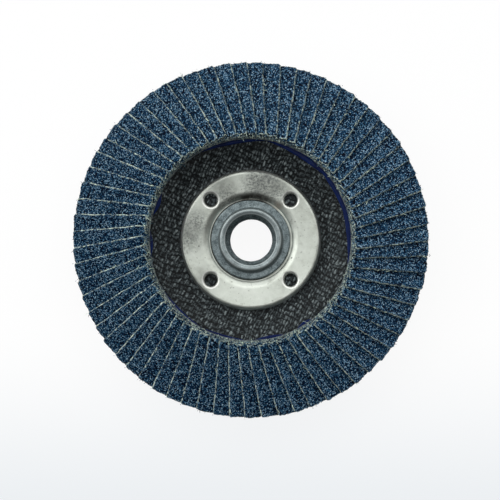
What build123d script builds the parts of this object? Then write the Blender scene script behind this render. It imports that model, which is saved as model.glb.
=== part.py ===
from build123d import *
import math
import os

# Screw-on flap disc for an angle grinder: a conical (type 29) disc with its own threaded hub.
# It lies flap side up. Z is the spindle axis and the rear end of the hub stands on Z = 0.
# Sizes are in millimetres and degrees. Clockwise is as seen from the flap side.

# Flaps: leaves of abrasive cloth that overlap like shingles
disc_diameter = 115.0        # over the outer corners of the flaps
flap_count = 67
flap_width = 16.0
flap_length = 24.0
flap_thickness = 1.0
flap_fall = 12.5             # the centre line of a flap falls this much towards the rim
flap_clearance = 0.03        # between neighbours at the inner end, where they are tightest
rim_opening = 0.35           # added to that clearance at the rim, where the flaps fan open
first_flap_angle = 88.0      # from the X axis to the centre line of the first flap
flaps_per_node = 2

# Adhesive bed: epoxy that holds the feet of the flaps
bed_thickness = 0.8
bed_inner_diameter = 62.6
bed_outer_diameter = 100.0
foot_depth = 0.4             # how much of a flap's foot the bed takes up

# Backing plate: a pressed fibreglass saucer
plate_diameter = 102.0
plate_thickness = 3.0
plate_hole_diameter = 22.23
plate_flat_diameter = 48.0   # the level middle, measured at its front surface
plate_knee_diameter = 63.0   # where the wall turns over into the cone
plate_dish = 4.5             # the middle lies this far below the knee
plate_bend_radius = 4.0
plate_edge_radius = 0.4

# Front flange: a pressed steel ring that clamps the plate from the flap side
flange_diameter = 45.0
flange_thickness = 1.0
flange_rise = 1.2            # at the rim, its face stands this far off the plate
flange_dish = 0.3            # the face falls this much from the rim to the funnel
flange_seat_diameter = 26.8  # the level seat under the collar of the hub
flange_funnel_diameter = 30.6
flange_bend_radius = 0.8
flange_funnel_round = 2.0    # where the face turns down into the funnel
drawn_hole_diameter = 4.0
drawn_hole_circle = 36.2
drawn_hole_count = 4
drawn_hole_angle = 45.0      # from the X axis to the first of them
drawn_hole_wall = 0.7
drawn_hole_round = 0.9

# Threaded hub: one steel piece, pushed through from behind and swaged over in front
hex_across_flats = 22.2
hex_height = 7.0
hex_chamfer_angle = 30.0
hub_flange_diameter = 36.0
hub_flange_thickness = 2.0
hub_edge_radius = 0.4
tail_clearance = 0.1         # round the tail, in the holes of the plate and the flange
collar_diameter = 25.4
collar_thickness = 1.3
nose_diameter = 20.8          # at its foot
nose_front_diameter = 18.6
nose_height = 1.2
nose_radius = 0.7
bore_diameter = 13.66        # over the crests of a 5/8-11 UNC thread
front_countersink_diameter = 16.6
rear_countersink_diameter = 17.4

# Heights of the clamped stack, from the rear
plate_seat = hex_height + hub_flange_thickness
plate_front = plate_seat + plate_thickness
collar_seat = plate_front + flange_thickness
collar_front = collar_seat + collar_thickness
hub_front = collar_front + nose_height
tail_radius = plate_hole_diameter / 2 - tail_clearance

# Flap placing. A flap is as wide to either side of its centre line, and it leans: its clockwise edge is
# raised, so that it lies on the next flap. Turned by one pitch, a leaning sheet moves off itself by
# pitch * (y * sin(lean) - half_width * sin(fall)), which has to be the thickness and a clearance.
half_width = flap_width / 2
fall = math.radians(flap_fall)
pitch = 2 * math.pi / flap_count


def lean_at(distance, clearance):
    lift = (flap_thickness + clearance) / pitch
    return math.asin((lift + half_width * math.sin(fall)) / distance)


rim_lean = lean_at(disc_diameter / 2, flap_clearance + rim_opening)
corner_reach = half_width * math.cos(rim_lean)
corner_advance = half_width * math.sin(rim_lean) * math.sin(fall)
rim_distance = math.sqrt((disc_diameter / 2) ** 2 - corner_reach**2) - corner_advance
inner_distance = rim_distance - flap_length * math.cos(fall)
inner_lean = lean_at(inner_distance - flap_thickness * math.sin(fall), flap_clearance)


# Radius and height of the lowest corner of a flap's foot, for one end of its centre line
def foot_corner(distance, lean):
    drop = half_width * math.sin(lean) + flap_thickness * math.cos(lean)
    reach = half_width * math.cos(lean) - flap_thickness * math.sin(lean)
    radius = math.hypot(reach, distance - drop * math.sin(fall))
    return radius, drop * math.cos(fall)


foot_inner_radius, foot_inner_drop = foot_corner(inner_distance, inner_lean)
foot_rim_radius, foot_rim_drop = foot_corner(rim_distance, rim_lean)
centre_line_drop = flap_length * math.sin(fall)
foot_fall = centre_line_drop + foot_rim_drop - foot_inner_drop
bed_angle = math.atan(foot_fall / (foot_rim_radius - foot_inner_radius))
knee_height = plate_front + plate_dish


# Height at a radius, and at a distance above the plate's conical front
def cone_height(radius, above):
    fallen = (radius - plate_knee_diameter / 2) * math.tan(bed_angle)
    return knee_height - fallen + above / math.cos(bed_angle)


foot_height = cone_height(foot_inner_radius, bed_thickness) - foot_depth
inner_height = foot_height + foot_inner_drop
rim_height = inner_height - centre_line_drop

os.makedirs("parts", exist_ok=True)

# Backing plate: the line through the middle of its thickness, given that thickness and turned about Z
half_plate = plate_thickness / 2
plate_middle = plate_front - half_plate
knee_radius = plate_knee_diameter / 2 - half_plate * math.sin(bed_angle)
rim_radius = plate_diameter / 2 - half_plate * math.sin(bed_angle)
with BuildPart() as backing_plate:
    with BuildSketch(Plane.XZ):
        with BuildLine():
            FilletPolyline(
                (plate_hole_diameter / 2, plate_middle),
                (plate_flat_diameter / 2, plate_middle),
                (knee_radius, knee_height - half_plate * math.cos(bed_angle)),
                (rim_radius, cone_height(plate_diameter / 2, 0) - half_plate * math.cos(bed_angle)),
                radius=plate_bend_radius,
            )
        trace(line_width=plate_thickness)
    revolve(axis=Axis.Z)
    rim_edges = backing_plate.edges().filter_by(GeomType.CIRCLE).sort_by(SortBy.RADIUS)[-2:]
    fillet(rim_edges, radius=plate_edge_radius)
backing_plate.part.label = "backing_plate"
export_step(backing_plate.part, "parts/backing_plate.step")

# Adhesive bed: it fills the space between the plate and the cone that the feet stand on
bed_inner = bed_inner_diameter / 2
bed_outer = bed_outer_diameter / 2
with BuildPart() as adhesive_bed:
    with BuildSketch(Plane.XZ):
        with BuildLine():
            Polyline(
                (bed_inner, knee_height - half_plate),
                (bed_inner, cone_height(bed_inner, bed_thickness)),
                (bed_outer, cone_height(bed_outer, bed_thickness)),
                (bed_outer, cone_height(bed_outer, -half_plate)),
                close=True,
            )
        make_face()
    revolve(axis=Axis.Z)
    add(backing_plate.part, mode=Mode.SUBTRACT)
adhesive_bed.part.label = "adhesive_bed"
export_step(adhesive_bed.part, "parts/adhesive_bed.step")

# Front flange: a thin sheet seated under the collar, funnelled up, and turned down again at its rim.
# Its face is slightly dished, and the edge of each drawn hole in it is well rounded.
half_sheet = flange_thickness / 2
sheet_low = plate_front + half_sheet
sheet_high = plate_front + flange_rise + half_sheet
with BuildPart() as front_flange:
    with BuildSketch(Plane.XZ):
        with BuildLine():
            FilletPolyline(
                (plate_hole_diameter / 2, sheet_low),
                (flange_seat_diameter / 2, sheet_low),
                (flange_funnel_diameter / 2, sheet_high - flange_dish),
                (flange_diameter / 2 - half_sheet, sheet_high),
                (flange_diameter / 2 - half_sheet, plate_front),
                radius=(flange_bend_radius, flange_funnel_round, flange_bend_radius),
            )
        trace(line_width=flange_thickness)
    revolve(axis=Axis.Z)
    # each hole is drawn down until its lip meets the plate
    with BuildSketch(Plane.XY.offset(plate_front)):
        with PolarLocations(drawn_hole_circle / 2, drawn_hole_count, start_angle=drawn_hole_angle):
            Circle(drawn_hole_diameter / 2 + drawn_hole_wall)
    extrude(amount=flange_rise + half_sheet - flange_dish)
    with BuildSketch(Plane.XY.offset(plate_front)):
        with PolarLocations(drawn_hole_circle / 2, drawn_hole_count, start_angle=drawn_hole_angle):
            Circle(drawn_hole_diameter / 2)
    extrude(amount=flange_rise + flange_thickness, mode=Mode.SUBTRACT)
    fillet(front_flange.edges(Select.LAST).group_by(Axis.Z)[-1], radius=drawn_hole_round)
front_flange.part.label = "front_flange"
export_step(front_flange.part, "parts/front_flange.step")

# Threaded hub: hexagon, rear flange, tail, swaged collar and nose, with one bore through all of them
flat_radius = hex_across_flats / 2
corner_radius = flat_radius / math.cos(math.pi / 6)
chamfer_reach = 2 * (corner_radius - flat_radius)
chamfer_height = chamfer_reach * math.tan(math.radians(hex_chamfer_angle))
with BuildPart() as threaded_hub:
    with BuildSketch():
        RegularPolygon(flat_radius, 6, major_radius=False)
    extrude(amount=hex_height)
    with BuildSketch(Plane.XZ):
        with BuildLine():
            Polyline(
                (flat_radius, 0),
                (flat_radius + chamfer_reach, 0),
                (flat_radius + chamfer_reach, chamfer_height),
                close=True,
            )
        make_face()
    revolve(axis=Axis.Z, mode=Mode.SUBTRACT)
    with BuildSketch(Plane.XZ):
        with BuildLine():
            Polyline(
                (0, hex_height),
                (hub_flange_diameter / 2, hex_height),
                (hub_flange_diameter / 2, plate_seat),
                (tail_radius, plate_seat),
                (tail_radius, collar_seat),
                (collar_diameter / 2, collar_seat),
                (collar_diameter / 2, collar_front),
                (nose_diameter / 2, collar_front),
                (nose_front_diameter / 2, hub_front),
                (0, hub_front),
                close=True,
            )
        make_face()
    revolve(axis=Axis.Z)
    circles = threaded_hub.edges().filter_by(GeomType.CIRCLE)
    outer_circles = circles.filter_by(lambda edge: edge.radius > (nose_diameter + collar_diameter) / 4)
    nose_circles = circles.filter_by_position(Axis.Z, collar_front, hub_front) - outer_circles
    collar_rim = outer_circles.filter_by_position(Axis.Z, collar_seat, collar_front).sort_by(Axis.Z)[-1]
    flange_rims = outer_circles.sort_by(SortBy.RADIUS)[-2:]
    fillet(nose_circles, radius=nose_radius)
    fillet(flange_rims + [collar_rim], radius=hub_edge_radius)
    with BuildSketch(Plane.XZ):
        with BuildLine():
            Polyline(
                (0, 0),
                (rear_countersink_diameter / 2, 0),
                (bore_diameter / 2, (rear_countersink_diameter - bore_diameter) / 2),
                (bore_diameter / 2, hub_front - (front_countersink_diameter - bore_diameter) / 2),
                (front_countersink_diameter / 2, hub_front),
                (0, hub_front),
                close=True,
            )
        make_face()
    revolve(axis=Axis.Z, mode=Mode.SUBTRACT)
threaded_hub.part.label = "threaded_hub"
export_step(threaded_hub.part, "parts/threaded_hub.step")


# A plane across a flap's centre line, with its Y axis up and its X axis counter-clockwise
def cross_plane(distance, height):
    outwards = (0, math.cos(fall), -math.sin(fall))
    return Plane(origin=(0, distance, height), x_dir=(-1, 0, 0), z_dir=outwards)


# One flap, drawn along the Y axis: a leaf that leans at its inner end and opens out flatter at the rim.
# What would stand below the top of the bed is cut off its foot.
with BuildPart() as flap:
    with BuildSketch(cross_plane(inner_distance, inner_height)):
        Rectangle(
            flap_width,
            flap_thickness,
            rotation=-math.degrees(inner_lean),
            align=(Align.CENTER, Align.MAX),
        )
    with BuildSketch(cross_plane(rim_distance, rim_height)):
        Rectangle(
            flap_width,
            flap_thickness,
            rotation=-math.degrees(rim_lean),
            align=(Align.CENTER, Align.MAX),
        )
    loft(ruled=True)
    with BuildSketch(Plane.XZ):
        with BuildLine():
            Polyline(
                (0, cone_height(0, bed_thickness)),
                (disc_diameter, cone_height(disc_diameter, bed_thickness)),
                (disc_diameter, -disc_diameter),
                (0, -disc_diameter),
                close=True,
            )
        make_face()
    revolve(axis=Axis.Z, mode=Mode.SUBTRACT)

# All flaps, clockwise from the first, a few to a node
flap_step = 360 / flap_count
first_turn = first_flap_angle - 90
for first in range(0, flap_count, flaps_per_node):
    last = min(first + flaps_per_node, flap_count)
    count = last - first
    turn = first_turn - first * flap_step
    with BuildPart() as flap_group:
        with PolarLocations(0, count, start_angle=turn, angular_range=-count * flap_step):
            add(flap.part)
    numbers = "_".join(f"{number:02d}" for number in range(first + 1, last + 1))
    flap_group.part.label = f"flaps_{numbers}" if count > 1 else f"flap_{numbers}"
    export_step(flap_group.part, f"parts/{flap_group.part.label}.step")
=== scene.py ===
import math

import bpy
import numpy as np
from mathutils import Matrix, Vector


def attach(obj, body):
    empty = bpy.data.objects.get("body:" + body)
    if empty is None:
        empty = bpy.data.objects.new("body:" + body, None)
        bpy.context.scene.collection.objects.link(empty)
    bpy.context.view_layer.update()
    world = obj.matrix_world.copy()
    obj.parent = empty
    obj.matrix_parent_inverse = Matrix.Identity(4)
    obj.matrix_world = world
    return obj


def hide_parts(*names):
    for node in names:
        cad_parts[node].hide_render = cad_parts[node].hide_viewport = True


# A conical screw-on flap disc, lying with its flaps up. Z is the spindle axis. Lengths are in
# millimetres, apart from those that a note gives in metres
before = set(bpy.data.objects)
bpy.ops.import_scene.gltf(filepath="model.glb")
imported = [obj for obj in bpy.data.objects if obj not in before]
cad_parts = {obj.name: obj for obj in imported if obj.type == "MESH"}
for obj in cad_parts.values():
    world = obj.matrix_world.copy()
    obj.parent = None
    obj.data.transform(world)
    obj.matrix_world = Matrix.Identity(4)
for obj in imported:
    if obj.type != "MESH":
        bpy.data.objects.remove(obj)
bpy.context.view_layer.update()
scene = bpy.context.scene
millimetre = 0.001

# Shared helpers: repeatable noise, grids and meshes

def latticeNumber(ix, iy, seed):
    # one repeatable number from 0 to 1 for each whole-numbered lattice point
    mixed = ix.astype(np.int64) * 374761393 + iy.astype(np.int64) * 668265263 + seed * 974634777
    mixed = mixed & 0xFFFFFFFF
    mixed = ((mixed ^ (mixed >> 13)) * 1274126177) & 0xFFFFFFFF
    return ((mixed ^ (mixed >> 16)) & 0xFFFFFF) / 0xFFFFFF

def softNoise(x, y, seed):
    # lattice numbers blended with an eased weight across each cell: 0 to 1, one hump per unit
    ix, iy = np.floor(x), np.floor(y)
    u, v = x - ix, y - iy
    u, v = u * u * (3 - 2 * u), v * v * (3 - 2 * v)
    near = latticeNumber(ix, iy, seed) * (1 - u) + latticeNumber(ix + 1, iy, seed) * u
    far = latticeNumber(ix, iy + 1, seed) * (1 - u) + latticeNumber(ix + 1, iy + 1, seed) * u
    return near * (1 - v) + far * v

def gritField(x, y, seed):
    # a grain sits somewhere in every unit cell: the height is the dome of the nearest grain,
    # 1 - (distance / reach)^2, and the tint is that grain's own number
    reach = 0.75
    ix, iy = np.floor(x), np.floor(y)
    nearest = np.full(np.broadcast(x, y).shape, 9.0)
    tint = np.zeros_like(nearest)
    for dx in (-1, 0, 1):
        for dy in (-1, 0, 1):
            cx, cy = ix + dx, iy + dy
            px = cx + 0.1 + 0.8 * latticeNumber(cx, cy, seed)
            py = cy + 0.1 + 0.8 * latticeNumber(cx, cy, seed + 1)
            distance = np.hypot(x - px, y - py)
            closer = distance < nearest
            nearest = np.where(closer, distance, nearest)
            tint = np.where(closer, latticeNumber(cx, cy, seed + 2), tint)
    height = np.clip(1 - (nearest / reach) ** 2, 0, 1) * (0.35 + 0.65 * tint)
    return height, tint

def gridQuads(rows, columns, loopRows=False, loopColumns=False):
    # joins each grid point to its neighbours; a looped side joins its last line to its first
    r = np.arange(rows if loopRows else rows - 1)[:, None]
    c = np.arange(columns if loopColumns else columns - 1)[None, :]
    rNext, cNext = (r + 1) % rows, (c + 1) % columns
    corners = (r * columns + c, r * columns + cNext, rNext * columns + cNext, rNext * columns + c)
    return np.stack(np.broadcast_arrays(*corners), axis=-1).reshape(-1, 4)

def makePiece(
    name, points, faceSets, material, slotName, nodes=(), colours=None, mapping=None, sharp=None
):
    # one closed mesh from points and sets of equal-sided faces, turned to face outwards by its
    # signed volume, with what it stands for
    points = points.reshape(-1, 3)
    signed = 0.0
    for faces in faceSets:
        a = points[faces[:, 0]]
        for k in range(1, faces.shape[1] - 1):
            b, c = points[faces[:, k]], points[faces[:, k + 1]]
            signed += np.einsum("ij,ij->", a, np.cross(b, c))
    if signed < 0:
        faceSets = [faces[:, ::-1] for faces in faceSets]
    corners = np.concatenate([faces.reshape(-1) for faces in faceSets])
    sides = np.concatenate([np.full(len(faces), faces.shape[1]) for faces in faceSets])
    starts = np.concatenate([[0], np.cumsum(sides)[:-1]])
    mesh = bpy.data.meshes.new(name)
    mesh.vertices.add(len(points))
    mesh.vertices.foreach_set("co", (points * millimetre).astype(np.float32).ravel())
    mesh.loops.add(len(corners))
    mesh.loops.foreach_set("vertex_index", corners.astype(np.int32))
    mesh.polygons.add(len(sides))
    mesh.polygons.foreach_set("loop_start", starts.astype(np.int32))
    mesh.polygons.foreach_set("loop_total", sides.astype(np.int32))
    mesh.polygons.foreach_set("use_smooth", np.ones(len(sides), bool))
    if colours is not None:
        layer = mesh.color_attributes.new(name="finish", type="FLOAT_COLOR", domain="POINT")
        layer.data.foreach_set("color", colours.reshape(-1).astype(np.float32))
    if mapping is not None:
        layer = mesh.uv_layers.new(name="clothMap")
        layer.data.foreach_set("uv", mapping.reshape(-1, 2)[corners].astype(np.float32).ravel())
    mesh.update()
    mesh.validate()
    if sharp is not None:
        mesh.set_sharp_from_angle(angle=math.radians(sharp))
    mesh.materials.append(material)
    piece = bpy.data.objects.new(name, mesh)
    scene.collection.objects.link(piece)
    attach(piece, "root")
    if nodes:
        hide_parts(*nodes)
    return piece

def turned(radius, height, angle):
    # a profile round the spindle axis: x = radius cos(angle), y = radius sin(angle), z = height
    x, y = radius * np.cos(angle), radius * np.sin(angle)
    return np.stack(np.broadcast_arrays(x, y, height), axis=-1)

def makeRing(name, radius, height, angle, *details, **others):
    # a closed section turned about the spindle axis into one piece
    points = turned(radius, height, angle)
    quads = gridQuads(*points.shape[:2], loopRows=True, loopColumns=True)
    makePiece(name, points, [quads], *details, **others)

# Shared helpers: materials. Their lengths are in metres

def addNode(tree, kind, inputs=None, **options):
    # one node; an input that is another node's output is linked, any other value is set
    made = tree.nodes.new(kind)
    for option, value in options.items():
        setattr(made, option, value)
    for socket, value in (inputs or {}).items():
        if isinstance(value, bpy.types.NodeSocket):
            tree.links.new(value, made.inputs[socket])
        else:
            made.inputs[socket].default_value = value
    return made

def addRamp(tree, factor, stops):
    # a colour for each place from 0 to 1, in a straight line between the stops
    ramp = addNode(tree, "ShaderNodeValToRGB", {"Fac": factor})
    elements = ramp.color_ramp.elements
    while len(elements) < len(stops):
        elements.new(0.5)
    for element, (place, colour) in zip(elements, stops):
        element.position = place
        element.color = (*colour, 1)
    return ramp.outputs["Color"]

def mixColours(tree, share, first, second):
    # first * (1 - share) + second * share; a fixed colour is three numbers
    first, second = (
        (*colour, 1) if isinstance(colour, tuple) else colour for colour in (first, second)
    )
    inputs = {0: share, 6: first, 7: second}
    mixed = addNode(tree, "ShaderNodeMix", inputs, data_type="RGBA", blend_type="MIX")
    return mixed.outputs[2]

def calculate(tree, operation, first, second, clamp=False):
    # one sum on two values
    inputs = {0: first, 1: second}
    return addNode(tree, "ShaderNodeMath", inputs, operation=operation, use_clamp=clamp).outputs[0]

def weightedSum(tree, *terms):
    # the sum of value * weight over the terms
    total = None
    for value, weight in terms:
        part = value if weight == 1 else calculate(tree, "MULTIPLY", value, weight)
        total = part if total is None else calculate(tree, "ADD", total, part)
    return total

def rescale(tree, value, low, high, newLow=0.0, newHigh=1.0):
    # eases from newLow at low to newHigh at high, and holds outside them
    ends = {"From Min": low, "From Max": high, "To Min": newLow, "To Max": newHigh}
    inputs = {"Value": value, **ends}
    return addNode(tree, "ShaderNodeMapRange", inputs, interpolation_type="SMOOTHSTEP").outputs[0]

def noiseValue(tree, place, scale, detail=2.0, roughness=0.5):
    # cloudy noise from about 0.3 to 0.7, with scale clouds to a unit of place
    inputs = {"Vector": place, "Scale": scale, "Detail": detail, "Roughness": roughness}
    return addNode(tree, "ShaderNodeTexNoise", inputs).outputs["Fac"]

def vectorSum(tree, operation, first, second=(0.0, 0.0, 0.0)):
    # one sum on two vectors; gives the node, for its vector or its number
    return addNode(tree, "ShaderNodeVectorMath", {0: first, 1: second}, operation=operation)

def axisDistance(tree, place):
    # distance from the spindle axis: the length of the place with its height taken away
    level = vectorSum(tree, "MULTIPLY", place, (1, 1, 0)).outputs["Vector"]
    return vectorSum(tree, "LENGTH", level).outputs["Value"]

def ringMask(tree, away, rise, fall):
    # 1 on a ring round the axis: eases up from 0 across rise, and back to 0 across fall
    inside, outside = rescale(tree, away, *rise), rescale(tree, away, *fall, 1.0, 0.0)
    return calculate(tree, "MULTIPLY", inside, outside)

def spotMask(tree, place, centre, reach, softness):
    # 1 inside a ball round a point, easing to 0 outside it
    away = vectorSum(tree, "DISTANCE", place, centre).outputs["Value"]
    return rescale(tree, away, reach - softness, reach + softness, 1.0, 0.0)

def greatest(tree, values):
    # the greatest of several values
    most = values[0]
    for value in values[1:]:
        most = calculate(tree, "MAXIMUM", most, value)
    return most

def coat(tree, colour, mask, share, finish):
    # lays a finish over a colour, as much as share * mask
    return mixColours(tree, calculate(tree, "MULTIPLY", mask, share), colour, finish)

def finishNumbers(tree):
    # the four numbers that a piece keeps at each of its points
    finish = addNode(tree, "ShaderNodeVertexColor", layer_name="finish")
    parts = addNode(tree, "ShaderNodeSeparateColor", {"Color": finish.outputs["Color"]})
    red, green, blue = (parts.outputs[name] for name in ("Red", "Green", "Blue"))
    return red, green, blue, finish.outputs["Alpha"]

def newMaterial(name, **sockets):
    # a material with fixed values on its shader, and the place on the object to work from
    material = bpy.data.materials.new(name)
    material.use_nodes = True
    tree = material.node_tree
    shader = next(node for node in tree.nodes if node.type == "BSDF_PRINCIPLED")
    for socket, value in sockets.items():
        shader.inputs[socket.replace("_", " ")].default_value = value
    place = addNode(tree, "ShaderNodeTexCoord").outputs["Object"]
    return material, tree, shader, place

def finishShader(tree, shader, colour, rough, height, distance, strength=1.0):
    # links the colour and the roughness, and tilts the surface as if it rose by distance * height
    inputs = {"Height": height, "Distance": distance, "Strength": strength}
    bump = addNode(tree, "ShaderNodeBump", inputs).outputs["Normal"]
    for value, socket in ((colour, "Base Color"), (rough, "Roughness"), (bump, "Normal")):
        if value is not None:
            tree.links.new(value, shader.inputs[socket])

# Abrasive cloth flaps

flapStyle = {
    "count": 67,
    "perNode": 2,
    "firstAngle": 88.0,  # degrees from the X axis to the first flap
    "width": 16.0,
    "length": 24.0,
    "thickness": 1.0,
    "fall": 12.5,  # degrees, along a flap towards the rim
    "clearance": 0.03,  # between neighbours at their inner ends
    "rimOpening": 0.35,  # added to that at the rim
    "discRadius": 57.5,
    "rowStep": 0.24,  # spacing of the grid along a flap
    "shownWidth": 6.4,  # the part of a flap that its neighbour leaves bare
    "columnStep": 0.24,
    "grainSize": 0.42,
    "grainDepth": 0.11,
    "waviness": 0.02,
    "edgeRounding": (0.35, 0.10),  # width and depth, at the clockwise edge
    "underside": 0.06,  # how much higher it lies than the solid's
    "turnJitter": 0.22,  # degrees either way
    "trimJitter": 0.35,  # how unevenly the clockwise edges are cut
    "endJitter": 0.22,  # how unevenly the ends are cut
    "bow": 0.12,  # of a clockwise edge, either way
    "longRag": (1.7, 0.22),  # length and depth of the waves in a clockwise edge
    "shortRag": (0.45, 0.16),
    "ragReach": 1.2,  # how far in from an edge its unevenness is felt
    "endTeeth": (0.5, 0.45, 0.36),  # width, and depth at the inner end and at the rim
    "rimProud": 0.15,  # how much an uncut end would stand out past the outline
    "wornCorner": (0.8, 0.2),  # width and depth, at the rim
    "fray": 0.95,  # how far the soft inner ends spread inwards
    "mapScale": 0.1,  # units of the cloth's own map to a millimetre
    "grit": (
        (0.36, (0.0002, 0.001, 0.005)),
        (0.48, (0.0004, 0.007, 0.030)),
        (0.59, (0.0015, 0.034, 0.092)),
        (0.70, (0.018, 0.092, 0.186)),
        (0.81, (0.105, 0.240, 0.365)),
        (0.91, (0.42, 0.59, 0.72)),
    ),
    "cotton": (
        (0.68, (0.01, 0.04, 0.07)),
        (0.71, (0.25, 0.35, 0.33)),
        (0.77, (0.88, 1.00, 0.86)),
    ),
    "backCloth": ((0.2, (0.10, 0.12, 0.15)), (0.8, (0.24, 0.25, 0.25))),
    "seed": 11,
}

def flapShape():
    # the same sums as the solids: how far out and how high a flap's ends are, and how they lean
    s = flapStyle
    half = s["width"] / 2
    fall = math.radians(s["fall"])
    pitch = 2 * math.pi / s["count"]

    def leanAt(distance, clearance):
        # the lean at which a turn by one pitch lifts a flap clear of itself
        lift = (s["thickness"] + clearance) / pitch
        return math.asin((lift + half * math.sin(fall)) / distance)

    rimLean = leanAt(s["discRadius"], s["clearance"] + s["rimOpening"])
    reach = half * math.cos(rimLean)
    rim = math.sqrt(s["discRadius"] ** 2 - reach**2) - half * math.sin(rimLean) * math.sin(fall)
    inner = rim - s["length"] * math.cos(fall)
    innerLean = leanAt(inner - s["thickness"] * math.sin(fall), s["clearance"])

    def footCorner(distance, lean):
        # radius of the lowest corner of an end, and how far it lies below the end's centre
        drop = half * math.sin(lean) + s["thickness"] * math.cos(lean)
        across = half * math.cos(lean) - s["thickness"] * math.sin(lean)
        return math.hypot(across, distance - drop * math.sin(fall)), drop * math.cos(fall)

    innerRadius, innerDrop = footCorner(inner, innerLean)
    rimRadius, rimDrop = footCorner(rim, rimLean)
    centreDrop = s["length"] * math.sin(fall)
    coneAngle = math.atan((centreDrop + rimDrop - innerDrop) / (rimRadius - innerRadius))
    return {
        "fall": fall, "rimLean": rimLean, "innerLean": innerLean, "rim": rim, "inner": inner,
        "innerDrop": innerDrop, "centreDrop": centreDrop, "innerRadius": innerRadius,
        "coneAngle": coneAngle,
    }

plateStyle = {
    "front": 12.0,  # height of its level middle
    "thickness": 3.0,
    "holeRadius": 11.115,
    "flatRadius": 24.0,
    "kneeRadius": 31.5,
    "rimRadius": 51.0,
    "dish": 4.5,
    "bendRadius": 4.0,
    "bedThickness": 0.8,
    "footDepth": 0.4,
}
shape = flapShape()

def coneHeight(radius, above):
    # height of the plate's cone at a radius, and at a distance above it
    knee = plateStyle["front"] + plateStyle["dish"]
    fallen = (radius - plateStyle["kneeRadius"]) * math.tan(shape["coneAngle"])
    return knee - fallen + above / math.cos(shape["coneAngle"])

footHeight = coneHeight(shape["innerRadius"], plateStyle["bedThickness"]) - plateStyle["footDepth"]
innerHeight = footHeight + shape["innerDrop"]
rimHeight = innerHeight - shape["centreDrop"]

def onFlap(across, depth, along, lead):
    # a point of a flap that points along +Y, on a straight line from the inner section to the rim
    # section. across grows from the clockwise edge, depth down from the top, along from 0 at the
    # inner end to 1 at the rim, and lead shifts it outwards
    ends = []
    for distance, height, lean in (
        (shape["inner"], innerHeight, shape["innerLean"]),
        (shape["rim"], rimHeight, shape["rimLean"]),
    ):
        sideways = across * math.cos(lean) - depth * math.sin(lean)
        up = -across * math.sin(lean) - depth * math.cos(lean)
        y = distance + up * math.sin(shape["fall"])
        z = height + up * math.cos(shape["fall"])
        ends.append(np.stack(np.broadcast_arrays(-sideways, y, z), axis=-1))
    points = ends[0] * (1 - along[..., None]) + ends[1] * along[..., None]
    points[..., 1] += lead * math.cos(shape["fall"])
    points[..., 2] -= lead * math.sin(shape["fall"])
    return points

def turnPoints(points, degrees):
    # about the spindle axis: x cos - y sin, x sin + y cos
    c, s = math.cos(math.radians(degrees)), math.sin(math.radians(degrees))
    x, y = points[..., 0], points[..., 1]
    return np.stack([x * c - y * s, x * s + y * c, points[..., 2]], axis=-1)

def flapColumns():
    # the loop round a flap's section, as distances across and down, with close columns only where
    # the flap shows
    s = flapStyle
    half, thick = s["width"] / 2, s["thickness"]
    shown = -half + s["shownWidth"]
    coarse = np.linspace(half, shown, 5)[:-1]
    fine = np.linspace(shown, -half, int(s["shownWidth"] / s["columnStep"]) + 1)
    edge = np.linspace(0, thick, 6)[1:]
    under = np.linspace(-half, half, 7)[1:]
    across = np.concatenate([coarse, fine, np.full(len(edge), -half), under])
    depth = np.concatenate([np.zeros(len(coarse) + len(fine)), edge, np.full(len(under), thick)])
    return across[None, :], depth[None, :]

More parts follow.
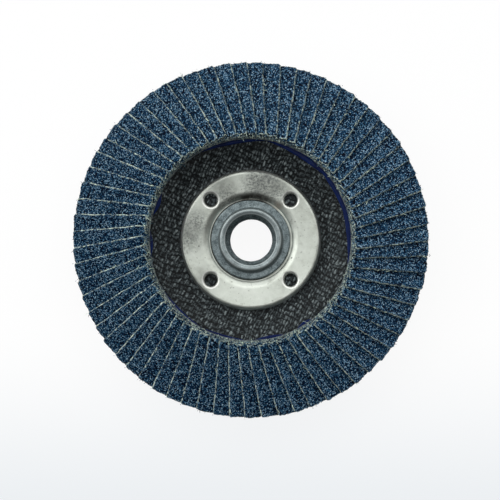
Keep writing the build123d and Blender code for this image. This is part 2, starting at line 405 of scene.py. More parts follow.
def makeFlap(number, rng):
    # one flap as a closed grid: its loop of columns carried along its length. The grain lowers the
    # top, the cut edges are uneven, and nothing stands above the solid flap
    s = flapStyle
    half, thick, seed = s["width"] / 2, s["thickness"], s["seed"]
    across, depth = flapColumns()
    rows, columns = int(s["length"] / s["rowStep"]) + 1, across.shape[1]
    along = np.linspace(0, 1, rows)[:, None]
    lengthwise = along * s["length"]
    fromEdge, fromRim = across + half, s["length"] - lengthwise
    onTop, below, underneath = depth < 0.01, depth > 0.01, depth > thick - 0.01
    shift = number * 41.0  # gives each flap its own stretch of the noise
    trim = rng.uniform(0.0, s["trimJitter"])
    shorter = rng.uniform(0.0, s["endJitter"])
    bow = rng.uniform(-s["bow"], s["bow"])

    height, tint = gritField((across + shift) / s["grainSize"], lengthwise / s["grainSize"], seed)
    wave = softNoise(across / 3.0 + shift, lengthwise / 5.0, seed + 5)
    roundWidth, roundDepth = s["edgeRounding"]
    rounding = 1 - np.clip(fromEdge / roundWidth, 0, 1)
    sunk = s["grainDepth"] * (1 - height) + s["waviness"] * wave + roundDepth * rounding**2
    depthNow = depth + np.where(onTop, sunk, 0.0) - np.where(underneath, s["underside"], 0.0)

    # the clockwise edge wanders, and is rough where threads were cut
    (longWave, longDepth), (shortWave, shortDepth) = s["longRag"], s["shortRag"]
    rag = softNoise(lengthwise / longWave, shift + 0 * across, seed + 7) * longDepth
    rag = rag + softNoise(lengthwise / shortWave, shift + depth * 2.5, seed + 8) * shortDepth
    rag = rag + trim + bow * np.sin(math.pi * along)
    nearEdge = np.clip(1 - fromEdge / s["ragReach"], 0, 1)
    acrossNow = across + np.clip(rag, 0.0, 1.0) * nearEdge

    # the ends are cut unevenly too, and the outer one follows the disc's round outline, which falls
    # back from a straight cut by across^2 / (2 * radius)
    inEnd = np.clip(1 - lengthwise / s["ragReach"], 0, 1)
    outEnd = np.clip(1 - fromRim / s["ragReach"], 0, 1)
    tooth, inDepth, outDepth = s["endTeeth"]
    inRag = softNoise(across / tooth + shift, depth * 2.5 + 3.0, seed + 9) * inDepth
    outRag = softNoise(across / tooth + shift, depth * 2.5 + 9.0, seed + 10) * outDepth + shorter
    cornerWidth, cornerDepth = s["wornCorner"]
    corner = np.clip(1 - fromEdge / cornerWidth, 0, 1)
    cutBack = outRag + across**2 / (2 * s["discRadius"]) - s["rimProud"] + cornerDepth * corner**2
    lead = inEnd * (inRag - s["fray"]) - outEnd * cutBack

    # a foot that would sink into the adhesive stands on it instead
    points = onFlap(acrossNow, depthNow, along, lead)
    bedTop = coneHeight(np.hypot(points[..., 0], points[..., 1]), plateStyle["bedThickness"])
    points[..., 2] = np.maximum(points[..., 2], np.minimum(bedTop, points[..., 2] + thick))

    # finish: grain tint, grain height, bare cloth on cut edges, back cloth below
    cut = np.where(below & (fromEdge < 0.01), 1.0, 0.0)
    cut = np.maximum(cut, np.where(onTop, np.clip(0.8 - fromEdge / 0.24, 0, 1), 0.0))
    cut = np.maximum(cut, np.where(below, 0.75, 0.9) * np.clip(1 - lengthwise / 0.2, 0, 1))
    cut = np.maximum(cut, np.where(below, 0.8, 0.3) * np.clip(1 - fromRim / 0.3, 0, 1))
    back = np.where(underneath, 1.0, 0.0)
    colours = np.stack(np.broadcast_arrays(tint, height, cut, back), axis=-1)
    endways = lengthwise - depth * (np.clip(1 - lengthwise / 0.5, 0, 1) - outEnd)
    mapping = np.stack(np.broadcast_arrays(across + depth + shift, endways), axis=-1)

    quads = gridQuads(rows, columns, loopColumns=True)
    ring = np.arange(columns)
    caps = np.stack([ring[::-1], ring + (rows - 1) * columns])
    turn = s["firstAngle"] - 90 - number * 360 / s["count"] + rng.uniform(-1, 1) * s["turnJitter"]
    return turnPoints(points, turn), quads, caps, colours, mapping * s["mapScale"], turn

# Each kind of thread: how many to a flap, the shortest and longest, where they start (least and
# range, and across a power too), which way they go, and how far that varies
threadStyle = {
    "rings": 5,
    "thickness": (0.06, 0.13),  # radius
    "highest": 23.55,  # no thread stands above the flaps
    "bend": (1.1, 1.1, 0.5),
    "kinds": {
        "inner": {
            "count": 24, "length": (0.4, 1.5), "across": (0.2, 7.5, 1.4), "depth": (0.15, 0.8),
            "along": (-0.022, 0.02), "way": (0.0, -0.8, -0.05), "spread": (2.6, 0.9, 0.5),
            "paler": 0.0,
        },
        "edge": {
            "count": 7, "length": (0.4, 1.3), "across": (0.28, 0.2, 1.0), "depth": (0.08, 0.35),
            "along": (0.02, 0.96), "way": (0.15, 0.0, 0.12), "spread": (0.4, 2.8, 0.25),
            "paler": 0.30,
        },
        "rim": {
            "count": 5, "length": (0.15, 0.55), "across": (0.1, 6.0, 1.0), "depth": (0.1, 0.8),
            "along": (0.985, 0.0), "way": (0.0, 1.0, 0.0), "spread": (1.8, 0.6, 0.7),
            "paler": 0.0,
        },
    },
    "cotton": (
        (0.56, (0.004, 0.020, 0.045)),
        (0.80, (0.020, 0.075, 0.120)),
        (0.88, (0.20, 0.40, 0.45)),
        (0.93, (0.84, 1.00, 0.82)),
    ),
}

def threadPaths(roots, ways, bends, lengths):
    # each path leaves its root straight and then curves: root + way * t + bend * t squared
    t = np.linspace(0, 1, threadStyle["rings"])[None, :, None]
    return roots[:, None] + lengths[:, None, None] * (ways[:, None] * t + bends[:, None] * t * t)

def unit(vectors):
    # each vector over its own length
    return vectors / (np.linalg.norm(vectors, axis=-1, keepdims=True) + 1e-9)

def threadTubes(paths, radii):
    # a three-sided tube along each path, thinner towards its tip and closed at both ends
    along = unit(np.gradient(paths, axis=1))
    side = unit(np.cross(along, np.array([0.31, 0.22, 0.93])))
    other = np.cross(along, side)
    taper = np.linspace(1.0, 0.55, paths.shape[1])[None, :, None, None]
    angle = np.arange(3) * 2 * math.pi / 3
    around = side[:, :, None] * np.cos(angle)[:, None] + other[:, :, None] * np.sin(angle)[:, None]
    points = paths[:, :, None] + around * radii[:, None, None, None] * taper
    count, rings = paths.shape[:2]
    starts = np.arange(count)[:, None, None] * rings * 3
    quads = (gridQuads(rings, 3, loopColumns=True)[None] + starts).reshape(-1, 4)
    first = starts[:, 0, 0][:, None]
    last = first + (rings - 1) * 3
    caps = np.concatenate([first + np.array([[2, 1, 0]]), last + np.array([[0, 1, 2]])])
    return points, quads, caps

def flapThreads(turns, rng):
    # frayed threads at the inner ends, the clockwise edges and the rim, in the flap's own axes (X
    # clockwise, Y outwards), then turned to each flap. A value is its least plus a random share of
    # its range
    half = flapStyle["width"] / 2
    kinds = threadStyle["kinds"]
    groups = {name: [] for name in kinds}
    for turn in turns:
        for name, kind in kinds.items():
            chance = rng.uniform(0, 1, (kind["count"], 8))
            shortest, longest = kind["length"]
            start, reach, power = kind["across"]
            lengths = shortest + (longest - shortest) * chance[:, 0] ** 2
            ways = np.array(kind["way"]) + (chance[:, 1:4] - 0.5) * kind["spread"]
            across = -half + start + reach * chance[:, 4] ** power
            depth = kind["depth"][0] + kind["depth"][1] * chance[:, 5]
            along = kind["along"][0] + kind["along"][1] * chance[:, 6]
            bends = (chance[:, 5:8] - 0.5) * threadStyle["bend"]
            roots = onFlap(across, depth, along, 0.0)
            points = threadPaths(roots, unit(ways), bends, lengths)
            groups[name].append(turnPoints(points, turn))
    return {name: np.concatenate(paths) for name, paths in groups.items()}

def makeClothMaterial():
    # blue grit: each grain has its own blue, with dark pits between and a few pale specks, and
    # cream cotton where the cloth is cut
    s = flapStyle
    sockets = {"Roughness": 0.6, "Specular_IOR_Level": 0.1}
    material, tree, shader, place = newMaterial("abrasiveCloth", **sockets)
    tint, _, cut, back = finishNumbers(tree)
    cloth = addNode(tree, "ShaderNodeUVMap", uv_map="clothMap").outputs["UV"]
    grain = addNode(tree, "ShaderNodeTexVoronoi", {"Vector": cloth, "Scale": 34.0})
    grainParts = addNode(tree, "ShaderNodeSeparateColor", {"Color": grain.outputs["Color"]})
    grainTint = grainParts.outputs["Red"]
    pit = rescale(tree, grain.outputs["Distance"], 0.25, 0.75)
    fleck = noiseValue(tree, cloth, 48.0, 1.0)
    patch = noiseValue(tree, place, 160.0)
    level = weightedSum(
        tree, (grainTint, 0.66), (fleck, 0.55), (tint, 0.08), (patch, 0.03), (pit, -0.22)
    )
    grit = addRamp(tree, level, s["grit"])
    # resin has soaked into the bare cotton here and there
    stain = noiseValue(tree, cloth, 13.0, 3.0, 0.7)
    soak = noiseValue(tree, cloth, 2.5, 2.0, 0.6)
    shade = weightedSum(tree, (stain, 1), (soak, 0.4))
    cotton = addRamp(tree, shade, s["cotton"])
    bare = calculate(tree, "MULTIPLY", cut, rescale(tree, shade, 0.65, 0.70), clamp=True)
    colour = mixColours(tree, bare, grit, cotton)
    ribs = {"Vector": cloth, "Scale": 9.0, "Distortion": 1.5}
    weave = addNode(tree, "ShaderNodeTexWave", ribs).outputs["Fac"]
    colour = mixColours(tree, back, colour, addRamp(tree, weave, s["backCloth"]))
    rough = rescale(tree, level, 0.35, 0.95, 0.72, 0.45)
    relief = weightedSum(tree, (grainTint, 0.6), (fleck, 1))
    finishShader(tree, shader, colour, rough, relief, 0.00015)
    return material

def makeThreadMaterial():
    # cream cotton; most threads are bluer and darker, as resin soaked in
    sockets = {"Roughness": 0.85, "Specular_IOR_Level": 0.2}
    material, tree, shader, place = newMaterial("frayedCotton", **sockets)
    own = finishNumbers(tree)[0]
    stain = noiseValue(tree, place, 900.0, 2.0, 0.6)
    colour = addRamp(tree, weightedSum(tree, (own, 1), (stain, 0.4)), threadStyle["cotton"])
    finishShader(tree, shader, colour, None, noiseValue(tree, place, 2600.0, 1.0), 0.00004, 0.8)
    return material

def buildFlaps():
    # every flap, two to a piece as the solids are, and then all threads of each kind as one piece
    rng = np.random.default_rng(flapStyle["seed"])
    cloth = makeClothMaterial()
    turns = []
    count = flapStyle["count"]
    for first in range(0, count, flapStyle["perNode"]):
        last = min(first + flapStyle["perNode"], count)
        made = [makeFlap(number, rng) for number in range(first, last)]
        grids, quadSets, capSets, colourSets, mapSets, ownTurns = zip(*made)
        points, colours, mapping = (np.stack(part) for part in (grids, colourSets, mapSets))
        starts = np.arange(len(made)) * (grids[0].size // 3)
        faces = [
            np.concatenate([own + start for own, start in zip(ownSets, starts)])
            for ownSets in (quadSets, capSets)
        ]
        numbers = "_".join(f"{number:02d}" for number in range(first + 1, last + 1))
        node = f"flaps_{numbers}" if last - first > 1 else f"flap_{numbers}"
        name, slot = "leaves_" + numbers, "abrasive_cloth"
        makePiece(name, points, faces, cloth, slot, [node], colours, mapping, sharp=65)
        turns += ownTurns
    frayed = makeThreadMaterial()
    low, high = threadStyle["thickness"]
    for kind, paths in flapThreads(turns, rng).items():
        radii = rng.uniform(low, high, len(paths))
        points, quads, caps = threadTubes(paths, radii)
        points[..., 2] = np.minimum(points[..., 2], threadStyle["highest"])
        own = rng.uniform(0, 1, len(paths))[:, None, None] + threadStyle["kinds"][kind]["paler"]
        own = np.broadcast_to(own, points.shape[:3])
        colours = np.stack([own, own, own, np.ones_like(own)], axis=-1)
        name, slot = "frayedThreads_" + kind, "abrasive_cloth"
        makePiece(name, points, [quads, caps], frayed, slot, (), colours)

buildFlaps()
print("flaps and frayed threads made")

# Woven backing plate

weaveStyle = {
    "pitch": (0.90, 1.60),  # between yarns, one way and the other
    "turn": -25.0,  # degrees, of the yarns against the X axis
    "wander": ((5.0, 1.5), (0.9, 0.5)),  # length of the rows' waves, and their height; in pitches
    "wrong": 0.20,  # share of cells where the weave is the wrong way round
    "proud": (0.36, 0.56),  # least height of a yarn one way and the other
    "depth": 0.34,
    "wovenRing": (17.0, 33.5),  # the ring in front that shows its weave
    "wovenBack": (12.5, 50.4),
    "backShare": 0.8,  # how deep the weave is behind, against in front
    "rowStep": 0.28,
    "backStep": 0.6,
    "closeRows": (16.5, 34.0),  # outside this ring only every fifth row in front is kept
    "columns": 620,
    "resin": (
        (0.50, (0.0005, 0.001, 0.0015)),
        (0.63, (0.009, 0.012, 0.013)),
        (0.77, (0.060, 0.074, 0.078)),
        (0.94, (0.24, 0.28, 0.28)),
    ),
    "seed": 31,
}

def roundedLine(corners, radius, steps):
    # a line through corners, each rounded by an arc that starts radius * tan(turn / 2) before it;
    # gives points and the left-hand normal at each. Places are kept as complex numbers
    corners = np.array(corners) @ (1, 1j)
    ways = np.diff(corners) / np.abs(np.diff(corners))
    points, normals = [corners[:1]], [1j * ways[:1]]
    for corner, before, after in zip(corners[1:-1], ways, ways[1:]):
        turn = np.angle(after / before)
        side = radius * np.sign(turn)
        normal = 1j * before * np.exp(1j * turn * np.linspace(0, 1, steps))
        centre = corner - before * radius * math.tan(abs(turn) / 2) + 1j * before * side
        points.append(centre - normal * side)
        normals.append(normal)
    line = np.concatenate([*points, corners[-1:]])
    square = np.concatenate([*normals, 1j * ways[-1:]])
    return np.stack([line.real, line.imag], axis=1), np.stack([square.real, square.imag], axis=1)

def resample(points, step):
    # equal steps along a line of points, each about as long as asked
    lengths = np.concatenate([[0], np.cumsum(np.linalg.norm(np.diff(points, axis=0), axis=1))])
    count = max(2, int(round(lengths[-1] / step)) + 1)
    wanted = np.linspace(0, lengths[-1], count)
    return np.stack([np.interp(wanted, lengths, points[:, k]) for k in range(2)], axis=1)

def weaveHeight(x, y):
    # plain weave: in every second cell the yarn one way lies on top, in the rest the other. A yarn
    # is a ridge that dives at its cell's ends, sqrt(1 - across^2) (1 - along^4), with faint grooves
    # between its fibres
    s = weaveStyle
    seed = s["seed"]
    c, k = math.cos(math.radians(s["turn"])), math.sin(math.radians(s["turn"]))
    u, v = (x * c + y * k) / s["pitch"][0], (-x * k + y * c) / s["pitch"][1]
    (far, farHeight), (near, nearHeight) = s["wander"]

    def wander(seed):
        # how far the rows stray here: two sizes of noise
        swing = farHeight * (softNoise(u / far, v / far, seed) - 0.5)
        return swing + nearHeight * (softNoise(u / near, v / near, seed + 6) - 0.5)

    u = u + wander(seed)
    v = v + wander(seed + 1)
    iu, iv = np.floor(u), np.floor(v)
    fu, fv = u - iu - 0.5, v - iv - 0.5
    wrong = latticeNumber(iu, iv, seed + 9) < s["wrong"]
    oneWay = ((iu + iv) % 2 == 0) ^ wrong
    along, over = np.where(oneWay, fu, fv), np.where(oneWay, fv, fu)
    over = over + (latticeNumber(iu, iv, seed + 5) - 0.5) * 0.5 * along
    ridge = np.sqrt(np.clip(1 - (over * 2.3) ** 2, 0, 1))
    ridge = ridge * np.clip(1 - np.abs(along * 1.85) ** 4, 0, 1)
    fibres = 0.5 + 0.5 * np.cos(over * 2 * math.pi * 3.4 + 6 * latticeNumber(iu, iv, seed + 3))
    proud = np.where(oneWay, *s["proud"]) + 0.42 * latticeNumber(iu, iv, seed + 4) ** 1.6
    height = ridge * proud * (0.72 + 0.28 * fibres) + 0.22 * softNoise(u * 5.3, v * 5.3, seed + 2)
    return np.clip(height, 0, 1)

def plateSection():
    # the plate's closed section: its middle line moved by half its thickness to either side
    p, s = plateStyle, weaveStyle
    half = p["thickness"] / 2
    cone = shape["coneAngle"]
    inwards, down = half * math.sin(cone), half * math.cos(cone)
    corners = [
        (p["holeRadius"], p["front"] - half),
        (p["flatRadius"], p["front"] - half),
        (p["kneeRadius"] - inwards, p["front"] + p["dish"] - down),
        (p["rimRadius"] - inwards, coneHeight(p["rimRadius"], 0) - down),
    ]
    line, normals = roundedLine(corners, p["bendRadius"], 12)
    front = resample(line + normals * half, s["rowStep"])
    row = np.arange(len(front))
    nearest, furthest = s["closeRows"]
    shows = (front[:, 0] > nearest) & (front[:, 0] < furthest)
    front = front[shows | (row % 5 == 0) | (row == len(front) - 1)]
    back = resample(line - normals * half, s["backStep"])[::-1]
    return np.concatenate([front, back]), len(front)

def makePlateMaterial():
    # black resin, thin and dusty over the yarns that stand proud
    sockets = {"Roughness": 0.5, "Specular_IOR_Level": 0.18}
    material, tree, shader, place = newMaterial("wovenResin", **sockets)
    yarn = finishNumbers(tree)[0]
    fibre = noiseValue(tree, place, 2300.0, 2.0, 0.6)
    dust = noiseValue(tree, place, 1100.0, 3.0, 0.65)
    level = weightedSum(tree, (yarn, 0.52), (dust, 0.46), (fibre, 0.44))
    colour = addRamp(tree, level, weaveStyle["resin"])
    rough, relief = rescale(tree, dust, 0.3, 0.7, 0.42, 0.7), calculate(tree, "ADD", fibre, dust)
    finishShader(tree, shader, colour, rough, relief, 0.00010, 0.7)
    return material

def buildPlate():
    # the plate's section turned about the spindle axis, and sunk by depth * (1 - weave) along its
    # own normal, in the ring in front that shows and over the back
    s = weaveStyle
    profile, frontRows = plateSection()
    angle = np.linspace(0, 2 * math.pi, s["columns"], endpoint=False)[None, :]
    radius, height = profile[:, 0][:, None], profile[:, 1][:, None]
    inFront = np.arange(len(profile))[:, None] < frontRows
    woven = weaveHeight(radius * np.cos(angle), radius * np.sin(angle))
    (ringIn, ringOut), (backIn, backOut) = s["wovenRing"], s["wovenBack"]
    ring = np.clip((radius - ringIn) / 1.5, 0, 1) * np.clip((ringOut - radius) / 1.5, 0, 1)
    shown = np.where(inFront, ring, s["backShare"])
    shown = shown * np.clip((radius - backIn) / 2, 0, 1) * np.clip((backOut - radius) / 0.8, 0, 1)
    sunk = s["depth"] * (1 - woven) * shown
    slope = np.gradient(profile, axis=0)
    slope /= np.linalg.norm(slope, axis=1, keepdims=True)
    radius = radius + sunk * slope[:, 1][:, None]
    height = height - sunk * slope[:, 0][:, None]
    colours = np.stack([woven, woven, woven, np.ones_like(woven)], axis=-1)
    details = makePlateMaterial(), "fibreglass", ["backing_plate"], colours
    makeRing("wovenPlate", radius, height, angle, *details, sharp=50)

buildPlate()
print("backing plate made")

# Epoxy bed

bedStyle = {
    "innerRadius": 31.3,
    "outerRadius": 50.0,
    "columns": 540,
    "hidden": -0.9,  # how far in the bead comes where it doesn't show
    "beadRadius": 0.55,
    "unevenness": (5.0, 0.16),  # degrees from lump to lump, and their height
    # where the bead shows: degrees clockwise from the top, half the spread in degrees, and how far
    # in it comes
    "beads": (
        (350, 11, 0.3), (33, 13, 0.9), (62, 14, 0.75), (82, 13, 0.70), (147, 3, 0.2),
        (169, 5, 0.2), (196, 8, -0.1), (224, 10, -0.2), (268, 4, 0.15), (291, 4, 0.3),
    ),
    "blue": ((0.35, (0.001, 0.007, 0.055)), (0.65, (0.003, 0.018, 0.110))),
    "seed": 51,
}

def beadReach(degrees):
    # how far in the bead comes: the greatest of its swellings, each a cosine of the angle from its
    # middle, with small lumps added
    s = bedStyle
    clockwise = (90 - degrees) % 360
    reach = np.full_like(degrees, s["hidden"])
    for middle, spread, size in s["beads"]:
        away = np.abs((clockwise - middle + 180) % 360 - 180)
        swelling = np.cos(np.minimum(away / spread * 0.8, 0.5 * math.pi))
        reach = np.maximum(reach, (size - s["hidden"]) * swelling + s["hidden"])
    step, lump = s["unevenness"]
    return reach + lump * (softNoise(clockwise / step, 0 * clockwise, s["seed"]) - 0.5)

def makeEpoxyMaterial():
    # deep blue, faintly cloudy and rippled
    sockets = {"Roughness": 0.28, "Specular_IOR_Level": 0.12}
    material, tree, shader, place = newMaterial("blueEpoxy", **sockets)
    cloudy = noiseValue(tree, place, 260.0, 3.0, 0.55)
    colour = addRamp(tree, cloudy, bedStyle["blue"])
    finishShader(tree, shader, colour, None, noiseValue(tree, place, 420.0), 0.00015, 0.5)
    return material

def buildBed():
    # a closed section turned about the spindle axis: up the bead's rounded face, out along the top
    # and back underneath, inside the plate
    s = bedStyle
    degrees = np.linspace(0, 360, s["columns"], endpoint=False)[None, :]
    reach = beadReach(degrees)
    top, bead = plateStyle["bedThickness"], s["beadRadius"]
    inner = s["innerRadius"] - reach
    face = np.linspace(-0.5 * math.pi, 0.5 * math.pi, 9)[:, None]
    faceRadius = inner + bead - bead * np.cos(face)
    faceHeight = coneHeight(inner, 0.0) + 0.10 + (np.sin(face) + 1) * 0.5 * (top - 0.2)
    faceHeight = faceHeight - 0.25 * np.clip(reach, 0, 1)
    topRadius = np.linspace(0.05, 1, 6)[:, None] * (s["outerRadius"] - inner - bead) + inner + bead
    topHeight = coneHeight(topRadius, top - 0.05)
    backRadius = np.linspace(1, 0, 5)[:, None] * (s["outerRadius"] - inner - 0.8) + inner + 0.8
    backHeight = coneHeight(backRadius, -0.5)
    radius = np.concatenate([faceRadius, topRadius, backRadius])
    height = np.concatenate([faceHeight, topHeight, backHeight])
    details = makeEpoxyMaterial(), "epoxy", ["adhesive_bed"]
    makeRing("epoxyBed", radius, height, np.radians(degrees), *details)

buildBed()
print("epoxy bed made")

# Threaded hub

hubStyle = {
    "columns": 288,
    "acrossFlats": 22.2,
    "footRadius": 9.6,  # of the rear face, inside the hexagon's chamfer
    "hexHeight": 7.0,
    "chamferAngle": 30.0,
    "flangeRadius": 18.0,
    "seat": 9.0,  # height of the rear flange's front face
    "tailRadius": 11.015,
    "collarSeat": 13.0,
    "collarRadius": 12.7,
    "collarFront": 14.3,
    "noseFoot": 10.45,
    "noseCrest": 9.6,
    "noseRound": 0.9,
    "front": 15.5,
    "mouth": 15.12,  # height of the bore's front edge, inside the crest
    "edgeRound": 0.4,
    "frontSink": 8.3,  # radius of the countersink at the front
    "rearSink": 8.7,
    "crestRadius": 6.83,
    "rootRadius": 7.9375,
    "threadPitch": 2.309,
    "plating": (
        (0.36, (0.070, 0.087, 0.092)),
        (0.50, (0.185, 0.228, 0.236)),
        (0.66, (0.33, 0.385, 0.39)),
    ),
    # the colour of the painted sheen and highlights
    "sheenColour": (0.60, 0.66, 0.65),
    # rings in front that get a painted sheen: where each comes and where it goes, as metres from
    # the axis, and how bright it is. They are the nose, its crest and the bore's edge; the crest
    # and the edge are painted highlights
    "sheenRings": (
        ((0.0082, 0.0090), (0.0104, 0.0110), 0.28),
        ((0.0092, 0.0095), (0.0097, 0.0100), 0.55),
        ((0.00805, 0.0083), (0.0084, 0.0086), 0.6),
    ),
    "sheenAbove": (0.0143, 0.0148),  # metres
}

def arcPoints(centre, radius, start, end, steps):
    # points of an arc in the section plane, from one angle to another in degrees
    angle = np.radians(np.linspace(start, end, steps))
    return [(centre[0] + radius * math.cos(a), centre[1] + radius * math.sin(a)) for a in angle]

def hubOutline():
    # the section from the hexagon to the bore: round the rear flange, up the tail, round the collar
    # and over the nose
    h = hubStyle
    rounding, hexTop, seat = h["edgeRound"], h["hexHeight"], h["seat"]
    rimCentre, collarCentre = h["flangeRadius"] - rounding, h["collarRadius"] - rounding
    line = [(12.9, hexTop), (15.0, hexTop)]
    line += arcPoints((rimCentre, hexTop + rounding), rounding, -90, 0, 5)
    line += arcPoints((rimCentre, seat - rounding), rounding, 0, 90, 5)
    line += [(14.0, seat), (h["tailRadius"], seat), (h["tailRadius"], h["collarSeat"])]
    line += [(h["collarRadius"] - 0.15, h["collarSeat"])]
    line += [(h["collarRadius"], h["collarSeat"] + 0.15)]
    line += arcPoints((collarCentre, h["collarFront"] - rounding), rounding, 0, 90, 6)
    nose = [
        (12.0, h["collarFront"]),
        (h["noseFoot"], h["collarFront"]),
        (h["noseCrest"], h["front"] + 0.1),
        (h["frontSink"] + 0.18, h["mouth"]),
    ]
    line += [tuple(point) for point in roundedLine(nose, h["noseRound"], 7)[0]]
    line += [(h["frontSink"] + 0.10, h["mouth"] - 0.01), (h["frontSink"], h["mouth"] - 0.06)]
    return np.array(line)

def makeHubMaterial():
    # dull zinc, blotched and speckled, with a painted sheen and highlights on its front rings
    h = hubStyle
    material, tree, shader, place = newMaterial("zincPlating", Metallic=1.0, Roughness=0.42)
    blotch = noiseValue(tree, place, 420.0, 4.0, 0.6)
    speck = noiseValue(tree, place, 2600.0, 3.0, 0.6)
    level = weightedSum(tree, (blotch, 0.5), (speck, 0.5))
    colour = addRamp(tree, level, h["plating"])
    away = axisDistance(tree, place)
    # painted sheen and highlights on the nose, its crest and the bore's edge, in front only
    rings = []
    for rise, fall, share in h["sheenRings"]:
        rings.append(calculate(tree, "MULTIPLY", ringMask(tree, away, rise, fall), share))
    height = addNode(tree, "ShaderNodeSeparateXYZ", {"Vector": place}).outputs["Z"]
    above = rescale(tree, height, *h["sheenAbove"])
    colour = coat(tree, colour, greatest(tree, rings), above, h["sheenColour"])
    rough = rescale(tree, level, 0.3, 0.7, 0.60, 0.42)
    relief = calculate(tree, "ADD", blotch, speck)
    finishShader(tree, shader, colour, rough, relief, 0.00005, 0.6)
    return material

def buildHub():
    # a closed section turned about the spindle axis. The hexagon's radius is the flats' over the
    # cosine of the angle from the nearest flat, held inside the chamfer's cone. The bore's goes
    # from crest to root as a triangle of the turn's phase, a right-hand helix
    h = hubStyle
    angle = np.linspace(0, 2 * math.pi, h["columns"], endpoint=False)[None, :]
    flat = h["acrossFlats"] / 2
    hexRows = np.concatenate([np.linspace(0, 1.2, 9), np.linspace(1.6, h["hexHeight"], 5)])
    hexRows = hexRows[:, None]
    fromFlat = (angle + math.pi / 3) % (math.pi / 3) - math.pi / 6
    chamfer = flat + hexRows / math.tan(math.radians(h["chamferAngle"]))
    hexRadius = np.minimum(flat / np.cos(fromFlat), chamfer)

    boreRows = np.linspace(h["mouth"] - 0.15, 0.30, 92)[:, None]
    phase = (boreRows / h["threadPitch"] - angle / (2 * math.pi)) % 1.0
    groove = np.clip(1.12 * (1 - np.abs(2 * phase - 1)) - 0.04, 0, 0.92) / 0.92
    threaded = h["crestRadius"] + (h["rootRadius"] - h["crestRadius"]) * groove
    sunk = np.maximum(h["frontSink"] - (h["mouth"] - boreRows), h["rearSink"] - boreRows)
    boreRadius = np.maximum(threaded, sunk)

    outline = hubOutline()
    flush = np.zeros_like(angle)
    lastRadius = h["rearSink"] + 0.05
    radius = np.concatenate([
        flush + h["footRadius"], hexRadius, flush + outline[:, :1], boreRadius, flush + lastRadius,
    ])
    height = np.concatenate([
        flush, flush + hexRows, flush + outline[:, 1:], flush + boreRows, flush,
    ])
    details = makeHubMaterial(), "hub_steel", ["threaded_hub"]
    makeRing("threadedHub", radius, height, angle, *details, sharp=40)

buildHub()
print("threaded hub made")

# Front flange: the solid is right as it is, so it only gets its finish

flangeStyle = {
    # lengths in metres
    "plating": (
        (0.36, (0.40, 0.42, 0.37)),
        (0.50, (0.585, 0.62, 0.555)),
        (0.66, (0.70, 0.735, 0.67)),
    ),
    # a painted highlight, laid on the hole lips and the rim
    "highlight": (1.0, 1.0, 0.96),
    # painted shade: darker patches on the top and left, where the steel reflects the dark side
    "shadePatch": (0.17, 0.18, 0.165),
    "mottledShade": (0.16, 0.17, 0.165),
    "nick": (0.03, 0.03, 0.03),
    "dirt": (0.16, 0.165, 0.14),
    "brown": (0.22, 0.15, 0.09),
    # painted shade on the funnel's top side, where its wall lies in shadow
    "crescentShade": (0.05, 0.045, 0.038),
    # painted shade in the gap round the collar
    "collarShade": (0.010, 0.010, 0.010),
    # each spot is its centre, its reach and its softness
    # where the mottled painted shade lies, on the top and left
    "mottledShadeSpots": (
        ((0.0035, 0.0188, 0.014), 0.0055, 0.0040),
        ((0.0078, 0.0155, 0.014), 0.0030, 0.0040),
        ((-0.0075, 0.0138, 0.014), 0.0028, 0.0030),
        ((-0.0176, 0.0055, 0.014), 0.0028, 0.0035),
        ((-0.0205, 0.0008, 0.014), 0.0030, 0.0040),
    ),
    # where the painted shade patches lie, on the top and left
    "shadePatchSpots": (
        ((0.0045, 0.0185, 0.014), 0.0060, 0.0050),
        ((-0.0100, 0.0170, 0.014), 0.0050, 0.0060),
        ((-0.0200, 0.0030, 0.014), 0.0060, 0.0060),
        ((-0.0150, -0.0130, 0.014), 0.0030, 0.0050),
    ),
    "nicks": (
        (-0.0166, -0.0020, 0.0137), (-0.0176, -0.0038, 0.0137),
        (0.0130, -0.0057, 0.0137), (0.0125, 0.0050, 0.0137),
    ),
    "nickSize": (0.00034, 0.00014),
    "brownSpot": ((0.0088, 0.0110, 0.013), 0.0012, 0.0012),
    "crescentShadeSpot": ((0.0008, 0.0150, 0.013), 0.0062, 0.0030),
    "holeMiddle": (0.0128, 0.0128, 0.0),  # of the hole in the first quarter
    # where the hole lips get a painted highlight, from each hole's middle
    "holeLipHighlight": ((0.0019, 0.0022), (0.0026, 0.0031)),
    # where the rim gets a painted highlight
    "rim": (0.0218, 0.0221),
    "crescentShadeEdge": (0.01400, 0.01520),
    "collarShadeEdge": (0.01285, 0.01325),
}

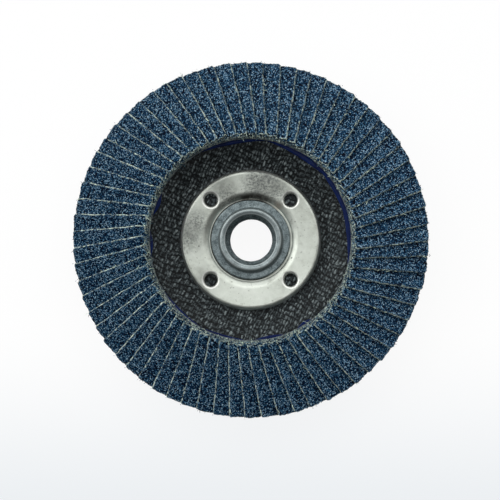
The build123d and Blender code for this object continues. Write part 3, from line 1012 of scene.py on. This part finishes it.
def finishFlange():
    # bright plate, tumbled: mottled, with painted shade in patches on its top and left, a few
    # nicks, specks of dirt and a brown stain, painted highlights on the hole lips and rim, and
    # painted shade on the funnel's top and in the gap round the collar
    s = flangeStyle
    material, tree, shader, place = newMaterial("pressedSteel", Metallic=1.0, Roughness=0.34)
    away = axisDistance(tree, place)
    blotch = noiseValue(tree, place, 260.0, 4.0, 0.6)
    speck = noiseValue(tree, place, 1500.0, 3.0, 0.65)
    stained = noiseValue(tree, place, 110.0, 6.0, 0.72)
    cloudy = noiseValue(tree, place, 420.0, 3.0, 0.6)
    level = calculate(tree, "MULTIPLY", calculate(tree, "ADD", blotch, stained), 0.5)
    colour = addRamp(tree, level, s["plating"])
    # painted shade in patches on the top and left, mottled in part
    shadePatch, mottledShade = (
        greatest(tree, [spotMask(tree, place, *spot) for spot in s[spots]])
        for spots in ("shadePatchSpots", "mottledShadeSpots")
    )
    shadePatch = calculate(tree, "MULTIPLY", shadePatch, rescale(tree, cloudy, 0.25, 0.60, 0.45, 1.0))
    dirt = rescale(tree, noiseValue(tree, place, 1150.0, 2.0, 0.55), 0.64, 0.70)

    # the four holes lie alike in the four quarters, so the place is folded into one of them
    folded = vectorSum(tree, "ABSOLUTE", place).outputs["Vector"]
    fromHole = vectorSum(tree, "SUBTRACT", folded, s["holeMiddle"]).outputs["Vector"]
    lipHighlight = ringMask(tree, axisDistance(tree, fromHole), *s["holeLipHighlight"])
    # painted shade on the top of the funnel round the collar
    crescentShade = spotMask(tree, place, *s["crescentShadeSpot"])
    crescentShade = calculate(tree, "MULTIPLY", crescentShade, rescale(tree, away, *s["crescentShadeEdge"], 1.0, 0.0))
    # painted shade in a thin ring round the collar, weaker towards the right
    collarShade = rescale(tree, away, *s["collarShadeEdge"], 1.0, 0.0)
    eastward = addNode(tree, "ShaderNodeSeparateXYZ", {"Vector": place}).outputs["X"]
    layers = [
        (shadePatch, 0.70, "shadePatch"),
        (mottledShade, rescale(tree, speck, 0.42, 0.62), "mottledShade"),
        *((spotMask(tree, place, centre, *s["nickSize"]), 0.85, "nick") for centre in s["nicks"]),
        (dirt, 0.55, "dirt"),
        (lipHighlight, 0.5, "highlight"),
        (spotMask(tree, place, *s["brownSpot"]), 0.6, "brown"),
        (rescale(tree, away, *s["rim"]), 0.7, "highlight"),
        (crescentShade, rescale(tree, cloudy, 0.30, 0.60, 0.55, 0.95), "crescentShade"),
        (collarShade, rescale(tree, eastward, 0.003, 0.010, 1.0, 0.25), "collarShade"),
    ]
    for mask, share, finish in layers:
        colour = coat(tree, colour, mask, share, s[finish])
    rough = rescale(tree, blotch, 0.3, 0.7, 0.30, 0.38)
    rough = weightedSum(tree, (rough, 1), (mottledShade, 0.10), (shadePatch, 0.06))
    relief = weightedSum(tree, (blotch, 1), (speck, 0.35))
    finishShader(tree, shader, colour, rough, relief, 0.00008, 0.5)
    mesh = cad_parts["front_flange"].data
    mesh.materials.clear()
    mesh.materials.append(material)

finishFlange()
print("flange finished")

# Floor, light and camera

stageStyle = {
    # lengths in metres
    "floorReach": 3.0,
    "floorColours": ((1.0, 1.0, 1.0), (0.80, 0.835, 0.865)),  # far side and near side
    "floorFade": (-0.025, -0.105),
    "floorGlow": 0.918,  # as it is seen
    "floorBounce": ((0.75, 0.76, 0.78), (0.10, 0.10, 0.10)),  # to the object, and as it is seen
    "worldColour": (0.97, 0.985, 1.0),
    "worldLow": 0.09,  # sky on the dark side
    "worldHigh": 0.85,  # and on the bright side
    "brightSide": (-0.45, 0.75, 0.48),
    "lamps": (
        # place, size, and power in watts
        ((0.44, 0.52, 0.90), (1.9, 1.3), 5.8),
        ((-0.74, 0.30, 0.62), (0.8, 0.8), 2.4),
    ),
    "lampAim": (0, 0, 0.015),
    "cameraAway": 0.80,
    "frameWidth": 0.1604,  # across the picture, at the disc
    "filmWidth": 36.0,  # millimetres
    "cameraLean": (0.0270, -0.0192, 1.0),
    "cameraAim": (-0.00027, -0.0032, 0.012),
}

def buildFloor():
    # a level square that is seen as white, with a faint blue-grey painted shade on the near side,
    # and bounces plain light back at the object
    s = stageStyle
    side = s["floorReach"]
    corners = [(-side, -side, 0), (side, -side, 0), (side, side, 0), (-side, side, 0)]
    mesh = bpy.data.meshes.new("floor")
    mesh.from_pydata(corners, [], [(0, 1, 2, 3)])
    floor = bpy.data.objects.new("floor", mesh)
    scene.collection.objects.link(floor)
    material = bpy.data.materials.new("paleFloor")
    material.use_nodes = True
    tree = material.node_tree
    tree.nodes.clear()
    place = addNode(tree, "ShaderNodeTexCoord").outputs["Object"]
    northward = addNode(tree, "ShaderNodeSeparateXYZ", {"Vector": place}).outputs["Y"]
    fade = rescale(tree, northward, *s["floorFade"])
    colour = mixColours(tree, fade, *s["floorColours"])
    path = addNode(tree, "ShaderNodeLightPath").outputs
    seen = greatest(tree, [path[f"Is {kind} Ray"] for kind in ("Camera", "Glossy", "Transmission")])
    strength = calculate(tree, "MULTIPLY", seen, s["floorGlow"])
    glow = addNode(tree, "ShaderNodeEmission", {"Color": colour, "Strength": strength})
    bounce = mixColours(tree, seen, *s["floorBounce"])
    matte = addNode(tree, "ShaderNodeBsdfDiffuse", {"Color": bounce})
    both = addNode(tree, "ShaderNodeAddShader", {0: glow.outputs[0], 1: matte.outputs[0]})
    addNode(tree, "ShaderNodeOutputMaterial", {"Surface": both.outputs[0]})
    mesh.materials.append(material)

def addHolder(name, data, place, target):
    # puts a lamp or camera in its place, turned so that its -Z looks at the target, with its +Y as
    # near as can be to the frame's
    holder = bpy.data.objects.new(name, data)
    scene.collection.objects.link(holder)
    back = (Vector(place) - Vector(target)).normalized()
    right = Vector((0, 1, 0)).cross(back).normalized()
    holder.location = place
    holder.rotation_euler = Matrix((right, back.cross(right), back)).transposed().to_euler()
    return holder

def buildLight():
    # a sky that brightens towards one side, by the cosine of the angle from it, and soft lamps
    s = stageStyle
    world = bpy.data.worlds.new("studio")
    scene.world = world
    world.use_nodes = True
    tree = world.node_tree
    tree.nodes.clear()
    way = addNode(tree, "ShaderNodeTexCoord").outputs["Generated"]
    towards = vectorSum(tree, "DOT_PRODUCT", way, s["brightSide"]).outputs["Value"]
    strength = rescale(tree, towards, -0.2, 0.95, s["worldLow"], s["worldHigh"])
    inputs = {"Color": (*s["worldColour"], 1), "Strength": strength}
    glow = addNode(tree, "ShaderNodeBackground", inputs)
    addNode(tree, "ShaderNodeOutputWorld", {"Surface": glow.outputs[0]})
    for number, (place, size, power) in enumerate(s["lamps"]):
        lamp = bpy.data.lights.new(f"softbox{number}", "AREA")
        lamp.shape = "RECTANGLE"
        lamp.size, lamp.size_y = size
        lamp.energy = power
        addHolder(f"softbox{number}", lamp, place, s["lampAim"])

def buildCamera():
    # a long lens that looks down on the disc, leaning as little as the view does
    s = stageStyle
    camera = bpy.data.cameras.new("camera")
    camera.sensor_width = s["filmWidth"]
    camera.lens = s["filmWidth"] * s["cameraAway"] / s["frameWidth"]
    camera.clip_end = 20.0
    place = np.array(s["cameraAim"]) + unit(np.array(s["cameraLean"])) * s["cameraAway"]
    scene.camera = addHolder("camera", camera, place, s["cameraAim"])

buildFloor()
buildLight()
buildCamera()
scene.view_settings.view_transform = "Standard"
print("floor, light and camera set")
